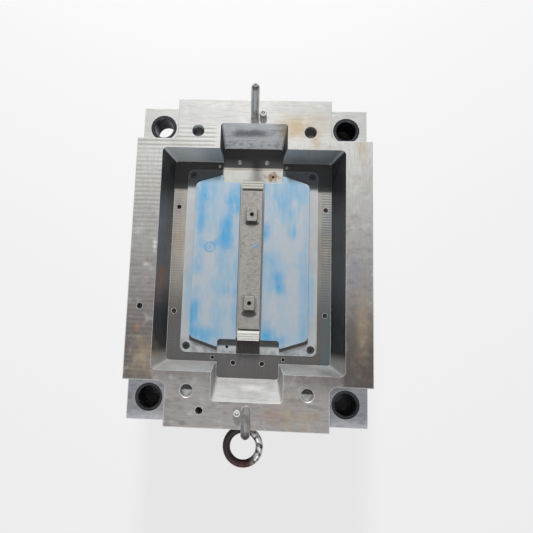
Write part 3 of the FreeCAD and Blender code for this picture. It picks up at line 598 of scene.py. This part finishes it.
def block_steel():
    f = Finish("block_steel", 0.4, 0.55)
    colour = f.mix(f.noise(30, 4), (0.34, 0.35, 0.35), (0.50, 0.52, 0.53))
    tongue = f.between(f.x, -53, 53)
    # Painted light: the tongue, lit through the far notch.
    lit_end = f.times(f.step(f.y, 132, 138), tongue)
    lit = f.mix(f.noise(9, 4), (0.40, 0.385, 0.345), (0.54, 0.52, 0.47))
    colour = f.mix(f.times(lit_end, 0.7), colour, lit)
    # Painted shadow: the block's far corners beside the tongue, in the shadow of the pocket's rim.
    shaded_end = f.times(f.step(f.y, 124, 132), f.inverse(tongue))
    colour = f.mix(f.times(shaded_end, 0.88), colour, (0.012, 0.02, 0.03))
    near_end = f.step(f.y, -132, -140)
    colour = f.mix(f.times(near_end, f.step(f.noise(14, 4), 0.4, 0.65), 0.6), colour, (0.16, 0.16, 0.165))
    # Painted shadow: the recess beside the near end bar, shaded by the panels.
    recess_shadow = f.times(f.step(f.y, -132, -136), f.step(f.y, -150, -146), f.between(f.x, -52, 52))
    colour = f.mix(f.times(recess_shadow, 0.85), colour, (0.02, 0.018, 0.018))
    # Painted shadow: a dark crescent on the block just past the sloping near edge of each panel.
    sideways = f.calc("ABSOLUTE", f.x)
    past = f.calc("SUBTRACT", f.times(f.calc("SUBTRACT", sideways, CORE_CORNER[0]), PANEL_TAPER), f.y)
    past = f.calc("ADD", past, CORE_CORNER[1])
    panel_shadow = f.times(f.between(past, -3, 6.5, 1.5), f.between(sideways, 53, 101))
    colour = f.mix(f.times(panel_shadow, 0.9), colour, (0.04, 0.028, 0.024))
    # Painted shadow: a dark brown strip on the block just past the near end bar, standing for the bar's
    # shadow.
    bar_shadow = f.times(near_end, f.between(f.x, -20, 20))
    colour = f.mix(f.times(bar_shadow, 0.96), colour, (0.022, 0.013, 0.012))
    colour = f.mix(f.times(f.blot(34, 150, 14, 9, 0.8, 6), 0.9), colour, (0.20, 0.11, 0.05))
    for x in (-106, 106):
        colour = f.mix(f.times(f.blot(x, -60, 7, 60), 0.5), colour, (0.20, 0.42, 0.62))
    lines = f.noise(1.0, 2, stretch=(0.6, 14, 1))
    colour = f.mix(f.step(lines, 0.5, 0.8, 0, 0.3), colour, (0.20, 0.21, 0.22))
    colour = f.mix(f.times(f.edges(), 0.4), colour, (0.72, 0.73, 0.73))
    return f.finish(colour, lines, 0.03)


block = block_steel()
print("block finish:", len(block.node_tree.nodes), "nodes")

# %% [markdown]
# ### End bars and centre strip
#
# The bars are bright and freshly cut, the near one painted lighter still as light where the strip
# shades it, the far one darker. The strip between the panels is dull and brown, darkened round its
# two screw holes and its pads, with a painted shadow beside each pad. They lie close together and
# share nothing but the steel, so each has a finish of its own.

# %% End bars


def bar_steel():
    f = Finish("bar_steel", 0.2, 0.5)
    colour = f.mix(f.noise(10, 3), (0.80, 0.78, 0.70), (0.92, 0.91, 0.86))
    # Painted light: the near bar is lightened, as if lit, though the strip shades it.
    colour = f.mix(f.step(f.y, 20, 0, 0.0, 0.5), colour, (1.0, 1.0, 0.96))
    far_bar = f.step(f.y, 0, 20)
    colour = f.mix(f.times(far_bar, 0.55), colour, (0.22, 0.21, 0.17))
    cuts = f.step(f.ripple(f.y, 5.0), 0.86, 0.95)
    colour = f.mix(f.times(far_bar, cuts, 0.7), colour, (0.04, 0.04, 0.035))
    grooves = f.step(f.edges(0.6), 0.3, 0.9)
    colour = f.mix(f.times(grooves, 0.5), colour, (0.12, 0.11, 0.10))
    return f.finish(colour, f.noise(1.2, 2, stretch=(8, 1, 1)), 0.02)


bars = bar_steel()
print("bar finish:", len(bars.node_tree.nodes), "nodes")

# %% Centre strip
STRIP_HOLES_Y = (-75, 75)


def strip_steel():
    f = Finish("strip_steel", 0.35, 0.52)
    colour = f.mix(f.noise(24, 4, stretch=(1, 2, 1)), (0.27, 0.245, 0.225), (0.43, 0.41, 0.39))
    grain = f.noise(1.6, 3, stretch=(4, 1, 1))
    colour = f.mix(f.step(grain, 0.40, 0.75, 0.0, 0.5), colour, (0.15, 0.13, 0.12))
    colour = f.mix(f.step(f.noise(7, 4), 0.52, 0.7, 0.0, 0.35), colour, (0.13, 0.11, 0.10))
    at_top = f.step(f.z, STRIP_Z + 1, STRIP_Z + 0.2)
    for y in STRIP_HOLES_Y:
        colour = f.mix(f.times(f.step(f.distance(0, y), 4.4, 3.0), 0.95), colour, (0.01, 0.01, 0.01))
        # A dark halo round each pad, shifted a little towards the near end.
        pad_halo = f.times(f.blot(0, y - 4, 15, 21, 0.3), at_top, 0.75)
        colour = f.mix(pad_halo, colour, (0.08, 0.065, 0.055))
    colour = f.mix(f.times(f.blot(9, 22, 8, 3), 0.5), colour, BLUE)
    # Painted shadow: a dark blot just on the near side of each pad, where its shadow falls; by the near
    # pad it also stands for a brown mark.
    for y, reach in ((60, 4), (-92, 6)):
        colour = f.mix(f.times(f.blot(0, y, 12, reach, 0.2, inner=0.8), 0.9), colour, (0.03, 0.022, 0.02))
    colour = f.mix(f.times(f.edges(1.2), 0.8), colour, (0.05, 0.045, 0.04))
    return f.finish(colour, grain, 0.03)


strip = strip_steel()
print("strip finish:", len(strip.node_tree.nodes), "nodes")

# %% [markdown]
# ## Browned forging and lacquered springs
#
# The lifting eye is a forging: browned scale and rough to the touch, with a bright band down the
# right side of its ring that is partly rubbed where hooks have run and partly painted highlight. The
# springs of an ejector set are sold in coloured lacquer, chipped at their ends.

# %% Eye and spring finishes


def eye_steel():
    f = Finish("eye_steel", 0.6, 0.45)
    scale = f.noise(5, 5)
    colour = f.mix(scale, (0.014, 0.009, 0.009), (0.05, 0.035, 0.032))
    # A bright band down the right side of the ring: partly rubbed steel, partly painted highlight.
    rubbed = f.times(f.step(f.x, 6, 22), f.step(f.noise(7, 4), 0.35, 0.6))
    colour = f.mix(f.times(rubbed, 0.9), colour, (0.75, 0.74, 0.72))
    red = f.times(f.step(f.y, -330, -340), f.step(f.noise(8, 3, shift=(9, 0, 0)), 0.4, 0.6))
    colour = f.mix(f.times(red, 0.6), colour, (0.13, 0.03, 0.025))
    return f.finish(colour, scale, 0.35, f.step(rubbed, 0, 1, 0.5, 0.25))


def spring_steel():
    f = Finish("spring_steel", 0.0, 0.32)
    chips = f.step(f.noise(3, 5), 0.62, 0.68)
    colour = f.mix(f.noise(20, 2), (0.02, 0.07, 0.30), (0.03, 0.10, 0.38))
    colour = f.mix(f.times(chips, 0.8), colour, (0.30, 0.30, 0.30))
    return f.finish(colour, chips, -0.05)


eye = eye_steel()
lacquer = spring_steel()
print("eye finish:", len(eye.node_tree.nodes), "nodes, spring finish:", len(lacquer.node_tree.nodes))

# %% [markdown]
# ## Assigning the finishes
#
# Each CAD node keeps its mesh. Only its material slots are filled, by the slot name that the
# record gives it.

# %% Slots to finishes
FINISH_OF = {
    "plate_steel": plate,
    "base_steel": base,
    "block_steel": block,
    "core_steel": panels,
    "strip_steel": strip,
    "bar_steel": bars,
    "pin_steel": pin,
    "bush_steel": bush,
    "screw_steel": screws,
    "keeper_steel": keeper,
    "eye_steel": eye,
    "spring_steel": lacquer,
}
SLOT_OF = {row["node"]: row["material_slot"] for row in frame["record"]["subparts"]}


def paint(obj, material):
    if not obj.material_slots:
        obj.data.materials.append(material)
    for slot in obj.material_slots:
        slot.material = material


for name, obj in frame["nodes"].items():
    paint(obj, FINISH_OF[SLOT_OF[name]])
print("finishes assigned:", len(frame["nodes"]))

# %% [markdown]
# ## Coil springs
#
# Four springs push the ejector set back. A coil spring is a wire wound on a helix, with its end
# turns closed up and ground flat. A circle is spun about the spring's axis while it rises, once
# for each closed end and once for the open turns between them, and a cut at each end does the
# grinding.

# %% A new piece


def new_piece(name, bm, material, smooth=True):
    mesh = bpy.data.meshes.new(name)
    bm.to_mesh(mesh)
    bm.free()
    mesh.materials.append(material)
    if smooth:
        mesh.shade_smooth()
    obj = bpy.data.objects.new(name, mesh)
    bpy.context.scene.collection.objects.link(obj)
    return obj


# %% Winding and grinding a spring
WIRE_R = 2.0
WIRE_SIDES = 10
OPEN_TURNS = 5
STEPS_PER_TURN = 18
CLOSED_PITCH = 0.8  # rise of a closed turn, as a share of the wire's thickness
GROUND_OFF = 0.4  # share of the wire's radius that grinding takes away
Z_AXIS = (0, 0, 1)
UPRIGHT = Matrix.Rotation(math.pi / 2, 4, "X")  # turns a flat ring to stand on edge


def wind(bm, loop, centre, turns, rise):
    """Spins a loop of edges about a vertical axis while it rises, and returns the last loop."""
    steps = turns * STEPS_PER_TURN
    made = bmesh.ops.spin(bm, geom=loop, cent=centre, axis=Z_AXIS, dvec=(0, 0, rise / steps),
                          angle=turns * 2 * math.pi, steps=steps, use_merge=False)
    return made["geom_last"]


def coil(bm, x, y, low, high, mean_r):
    """One closed and ground compression spring between two heights."""
    wire = bmesh.ops.create_circle(bm, segments=WIRE_SIDES, radius=WIRE_R * MM)["verts"]
    start = low - WIRE_R * MM * GROUND_OFF
    place = Matrix.Translation((x + mean_r, y, start + WIRE_R * MM)) @ UPRIGHT
    bmesh.ops.transform(bm, matrix=place, verts=wire)
    edges = list({e for v in wire for e in v.link_edges})
    loop = wire + edges
    first = list(wire)
    closed = 2 * WIRE_R * MM * CLOSED_PITCH
    free = high - low - 2 * closed - 2 * WIRE_R * MM * (1 - GROUND_OFF)
    for turns, rise in ((1, closed), (OPEN_TURNS, free), (1, closed)):
        loop = wind(bm, loop, (x, y, 0), turns, rise)
    last = [g for g in loop if isinstance(g, bmesh.types.BMVert)]
    bmesh.ops.contextual_create(bm, geom=first)
    bmesh.ops.contextual_create(bm, geom=last)


def grind(bm, height, keep_above):
    """Cuts everything off beyond a height and closes the cut with flat faces."""
    cut = bmesh.ops.bisect_plane(bm, geom=bm.verts[:] + bm.edges[:] + bm.faces[:],
                                 plane_co=(0, 0, height), plane_no=Z_AXIS,
                                 clear_outer=not keep_above, clear_inner=keep_above)
    rim = [g for g in cut["geom_cut"] if isinstance(g, bmesh.types.BMEdge)]
    bmesh.ops.holes_fill(bm, edges=rim)


# %% Springs
SPRING_OUTER_R = 17


def springs():
    low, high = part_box("return_springs")
    outer = SPRING_OUTER_R * MM
    x, y = high[0] - outer, high[1] - outer
    bm = bmesh.new()
    for sx in (-1, 1):
        for sy in (-1, 1):
            coil(bm, sx * x, sy * y, low[2], high[2], outer - WIRE_R * MM)
    grind(bm, low[2], True)
    grind(bm, high[2], False)
    bmesh.ops.recalc_face_normals(bm, faces=bm.faces)
    obj = new_piece("return_springs_wound", bm, lacquer)
    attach(obj, "core_side")
    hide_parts("return_springs")
    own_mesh(obj)


springs()

# %% [markdown]
# ## Socket head screws
#
# A cap screw has a knurled head with a small chamfer, a hexagon socket and a shank. Its whole
# outline is a stack of rings with the same number of points: round ones, knurled ones and, in the
# socket, rings pressed into a hexagon. Extruding one ring to the next keeps the mesh clean.

# %% Rings of points
RING = 72
KNURL = 0.965  # radius at the foot of a knurl, as a share of the head's


def round_ring(r):
    return lambda k: r


def knurled_ring(r):
    return lambda k: r * (1.0 if k % 2 else KNURL)


def hexagon_ring(r):
    """Distance to the side of a hexagon with corner radius r, in each direction."""
    def reach(k):
        angle = (2 * math.pi * k / RING) % (math.pi / 3) - math.pi / 6
        return r * math.cos(math.pi / 6) / math.cos(angle)
    return reach


# %% One screw
HEAD_R = 0.75  # these are all shares of the shank's diameter
CHAMFER = 0.09
FOOT_CHAMFER = 0.05
SOCKET_R = 0.46
SOCKET_MOUTH_R = 0.56
SOCKET_DEPTH = 0.5
TIP_R = 0.42
TIP_CHAMFER = 0.1


def outline(head_z, shank_z, d, facing):
    """Height and radius of each ring, from the socket's floor round the head to the shank's tip."""
    r = HEAD_R * d
    return [
        (head_z - facing * SOCKET_DEPTH * d, hexagon_ring(SOCKET_R * d)),
        (head_z, hexagon_ring(SOCKET_R * d)),
        (head_z, round_ring(SOCKET_MOUTH_R * d)),
        (head_z, round_ring(r - CHAMFER * d)),
        (head_z - facing * CHAMFER * d, knurled_ring(r)),
        (head_z - facing * 0.9 * d, knurled_ring(r)),
        (head_z - facing * 0.95 * d, round_ring(r - FOOT_CHAMFER * d)),
        (head_z - facing * d, round_ring(r - FOOT_CHAMFER * d)),
        (head_z - facing * d, round_ring(d / 2)),
        (shank_z + facing * TIP_CHAMFER * d, round_ring(d / 2)),
        (shank_z, round_ring(TIP_R * d)),
    ]


def screw(bm, x, y, head_z, shank_z, d, facing):
    """A screw of shank diameter d whose head ends at head_z and whose shank ends at shank_z."""
    centre = Vector((x * MM, y * MM, 0))
    place = Matrix.Translation(centre)
    loop = bmesh.ops.create_circle(bm, segments=RING, radius=1.0, matrix=place)["verts"]
    edges = list({e for v in loop for e in v.link_edges})
    first = loop
    for number, (z, reach) in enumerate(outline(head_z, shank_z, d, facing)):
        if number:
            made = bmesh.ops.extrude_edge_only(bm, edges=edges)["geom"]
            loop = [g for g in made if isinstance(g, bmesh.types.BMVert)]
            edges = [g for g in made if isinstance(g, bmesh.types.BMEdge)
                     and all(v in loop for v in g.verts)]
        for v in loop:
            angle = math.atan2(v.co.y - centre.y, v.co.x - centre.x)
            radius = reach(round(angle / (2 * math.pi) * RING) % RING) * MM
            v.co = centre + Vector((radius * math.cos(angle), radius * math.sin(angle), z * MM))
    bmesh.ops.contextual_create(bm, geom=first)
    bmesh.ops.contextual_create(bm, geom=loop)


# %% Where the screws are


def islands(node):
    """The middle and height range of each separate solid in a node, in millimetres."""
    bm = bmesh.new()
    bm.from_mesh(frame["nodes"][node].data)
    bmesh.ops.remove_doubles(bm, verts=bm.verts, dist=1e-5)
    left, found = set(bm.verts), []
    while left:
        reached, edge = set(), [left.pop()]
        while edge:
            v = edge.pop()
            reached.add(v)
            edge += [w for e in v.link_edges for w in e.verts if w not in reached and w is not v]
        left -= reached
        xs, ys, zs = zip(*[v.co / MM for v in reached])
        found.append(((min(xs) + max(xs)) / 2, (min(ys) + max(ys)) / 2, min(zs), max(zs)))
    bm.free()
    return sorted(found)


# %% Screws
SHANK = {"block_screws": 8, "core_screws": 8, "main_screws": 16, "pillar_screws": 12,
         "ejector_screws": 10, "keeper_screws": 8}
HEAD_UP = {"block_screws", "keeper_screws"}


def screw_set(node):
    bm = bmesh.new()
    places = islands(node)
    for x, y, low, high in places:
        if node in HEAD_UP:
            screw(bm, x, y, high, low, SHANK[node], 1)
        else:
            screw(bm, x, y, low, high, SHANK[node], -1)
    bmesh.ops.recalc_face_normals(bm, faces=bm.faces)
    obj = new_piece(node + "_knurled", bm, FINISH_OF[SLOT_OF[node]], smooth=False)
    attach(obj, "ejector_set" if node == "ejector_screws" else "core_side")
    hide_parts(node)
    print(node, "screws:", len(places), "faces:", len(obj.data.polygons))


for node in SHANK:
    screw_set(node)

# %% [markdown]
# ## Lifting eye
#
# The eye bolt is one drop forging, so its ring flows into its neck without an edge. The ring,
# neck and collar start as simple turned shapes that run into each other. A voxel remesh joins
# them into one skin, and smoothing rounds the crotch as the forging die would.

# %% Eye
EYE_WIRE_R = 6.25
EYE_SKIN = 0.9  # size of the grains that the remesh works with
STUD_R, STUD_LENGTH = 10, 24
COLLAR_R, COLLAR_DEPTH = 15, 7
NECK_R = 13


def lifting_eye():
    low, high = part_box("lifting_eye")
    middle = Vector(((low[0] + high[0]) / 2, 0, (low[2] + high[2]) / 2))
    wire_r = EYE_WIRE_R * MM
    ring_r = (high[0] - low[0]) / 2 - wire_r
    ring_y = low[1] + wire_r + ring_r
    side = plate_low[1] * MM
    bm = bmesh.new()
    section = bmesh.ops.create_circle(bm, segments=20, radius=wire_r)["verts"]
    place = Matrix.Translation((middle.x + ring_r, ring_y, middle.z)) @ UPRIGHT
    bmesh.ops.transform(bm, matrix=place, verts=section)
    edges = list({e for v in section for e in v.link_edges})
    bmesh.ops.spin(bm, geom=section + edges, cent=(middle.x, ring_y, 0), axis=Z_AXIS,
                   angle=2 * math.pi, steps=64, use_merge=True)
    bmesh.ops.remove_doubles(bm, verts=bm.verts, dist=1e-6)
    stud = (side + STUD_LENGTH * MM, side, STUD_R * MM, STUD_R * MM)
    collar = (side, side - COLLAR_DEPTH * MM, COLLAR_R * MM, COLLAR_R * MM)
    neck = (side - 6 * MM, ring_y + ring_r - wire_r * 0.5, NECK_R * MM, wire_r * 1.25)
    for inner, outer, r_inner, r_outer in (stud, collar, neck):
        turned = Matrix.Translation((middle.x, (inner + outer) / 2, middle.z)) @ UPRIGHT
        bmesh.ops.create_cone(bm, cap_ends=True, segments=48, radius1=r_inner, radius2=r_outer,
                              depth=inner - outer, matrix=turned)
    bmesh.ops.recalc_face_normals(bm, faces=bm.faces)
    obj = new_piece("lifting_eye_forged", bm, eye)
    remesh = obj.modifiers.new("skin", "REMESH")
    remesh.mode = "VOXEL"
    remesh.voxel_size = EYE_SKIN * MM
    remesh.use_smooth_shade = True
    smooth = obj.modifiers.new("forged", "SMOOTH")
    smooth.factor = 0.5
    smooth.iterations = 6
    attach(obj, "lifting_eye")
    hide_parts("lifting_eye")
    print("eye ring radius", round(ring_r / MM, 1), "mm, centre at y", round(ring_y / MM, 1))


lifting_eye()

# %% [markdown]
# ## Floor
#
# The part stands on a plain pale floor. The floor glows a little towards the camera and towards
# reflections, so that it reads as a pale page, while the rest of it still takes the shadow.

# %% Floor
PAGE = 0.93  # brightness of the pale backdrop
GLOW = 0.8  # how much of the floor's look is glow, where it serves as backdrop
FLOOR_HALF = 6.0
FLOOR_DROP = 0.0005  # keeps the floor clear of the part's foot


def seen_as_background(tree):
    """1 for rays from the camera, and for those mirrored or let through by a piece."""
    path = tree.nodes.new("ShaderNodeLightPath")
    seen = path.outputs["Is Camera Ray"]
    for kind in ("Is Glossy Ray", "Is Transmission Ray"):
        either = tree.nodes.new("ShaderNodeMath")
        either.operation = "MAXIMUM"
        tree.links.new(seen, either.inputs[0])
        tree.links.new(path.outputs[kind], either.inputs[1])
        seen = either.outputs[0]
    return seen


def floor():
    bm = bmesh.new()
    bmesh.ops.create_grid(bm, x_segments=1, y_segments=1, size=FLOOR_HALF)
    bmesh.ops.translate(bm, vec=(0, 0, -FLOOR_DROP), verts=bm.verts)
    material = bpy.data.materials.new("pale_floor")
    material.use_nodes = True
    tree = material.node_tree
    shader = tree.nodes["Principled BSDF"]
    shader.inputs["Base Color"].default_value = (0.86, 0.86, 0.86, 1)
    shader.inputs["Roughness"].default_value = 0.9
    glow = tree.nodes.new("ShaderNodeEmission")
    glow.inputs["Color"].default_value = (PAGE, PAGE, PAGE, 1)
    share = tree.nodes.new("ShaderNodeMath")
    share.operation = "MULTIPLY"
    share.inputs[1].default_value = GLOW
    tree.links.new(seen_as_background(tree), share.inputs[0])
    both = tree.nodes.new("ShaderNodeMixShader")
    tree.links.new(share.outputs[0], both.inputs[0])
    tree.links.new(shader.outputs[0], both.inputs[1])
    tree.links.new(glow.outputs[0], both.inputs[2])
    tree.links.new(both.outputs[0], tree.nodes["Material Output"].inputs["Surface"])
    obj = new_piece("floor", bm, material, smooth=False)


floor()

# %% [markdown]
# ## Light
#
# One soft box stands beyond the far end, low enough to lay the shadow of the pocket's rim on its
# floor. A wide, weak one at the near end opens the shadows on the sloping backs, and a plain grey
# sky fills the rest. The camera, and the steel that mirrors it, see that sky as a pale backdrop.

# %% Soft boxes and sky
LIGHT_FAR = 2.4
SKY_TINT = (0.95, 0.98, 1.0, 1)
SKY_LIGHT = 0.08  # strength of the sky as a light, where it isn't seen as the backdrop


def soft_box(name, turn, rise, size, power):
    """A round lamp that looks at the part, turned from the far end and raised by two angles."""
    lamp = bpy.data.lights.new(name, "AREA")
    lamp.shape = "DISK"
    lamp.size = size
    lamp.energy = power
    obj = bpy.data.objects.new(name, lamp)
    towards = Vector((-math.sin(turn) * math.cos(rise), math.cos(turn) * math.cos(rise), math.sin(rise)))
    obj.location = Vector((0, 0, FACE_Z * MM)) + LIGHT_FAR * towards
    obj.rotation_euler = towards.to_track_quat("Z", "Y").to_euler()
    bpy.context.scene.collection.objects.link(obj)


def sky():
    world = bpy.data.worlds.new("studio")
    bpy.context.scene.world = world
    world.use_nodes = True
    ground = world.node_tree.nodes["Background"]
    ground.inputs["Color"].default_value = SKY_TINT
    strength = world.node_tree.nodes.new("ShaderNodeMapRange")
    strength.inputs["To Min"].default_value = SKY_LIGHT
    strength.inputs["To Max"].default_value = PAGE
    world.node_tree.links.new(seen_as_background(world.node_tree), strength.inputs["Value"])
    world.node_tree.links.new(strength.outputs[0], ground.inputs["Strength"])


soft_box("far_box", turn=math.radians(3.5), rise=math.radians(32.5), size=0.34, power=64)
soft_box("near_fill", turn=math.radians(176), rise=math.radians(52), size=1.4, power=11)
sky()
print("lamps:", [lamp.name for lamp in bpy.data.lights])

# %% [markdown]
# ## Camera
#
# The camera looks down from a little nearer the lifting eye, at an arm's length above the
# parting face. Its lens is a wide one, as in a phone.

# %% Camera
LENS = 26.78
SENSOR = 36
SHIFT_X, SHIFT_Y = 0.0553, -0.0112
EYE_POINT = (0.00137, -0.08004, 0.85313)
TILT = (6.590, 1.845, 1.944)  # degrees


def camera():
    data = bpy.data.cameras.new("camera")
    data.sensor_width = SENSOR
    data.lens = LENS
    data.shift_x, data.shift_y = SHIFT_X, SHIFT_Y
    data.clip_end = 20
    obj = bpy.data.objects.new("camera", data)
    obj.location = EYE_POINT
    obj.rotation_euler = [math.radians(a) for a in TILT]
    bpy.context.scene.collection.objects.link(obj)
    bpy.context.scene.camera = obj


camera()
bpy.context.scene.view_settings.view_transform = "Standard"
print("camera at", EYE_POINT, "lens", LENS, "mm")
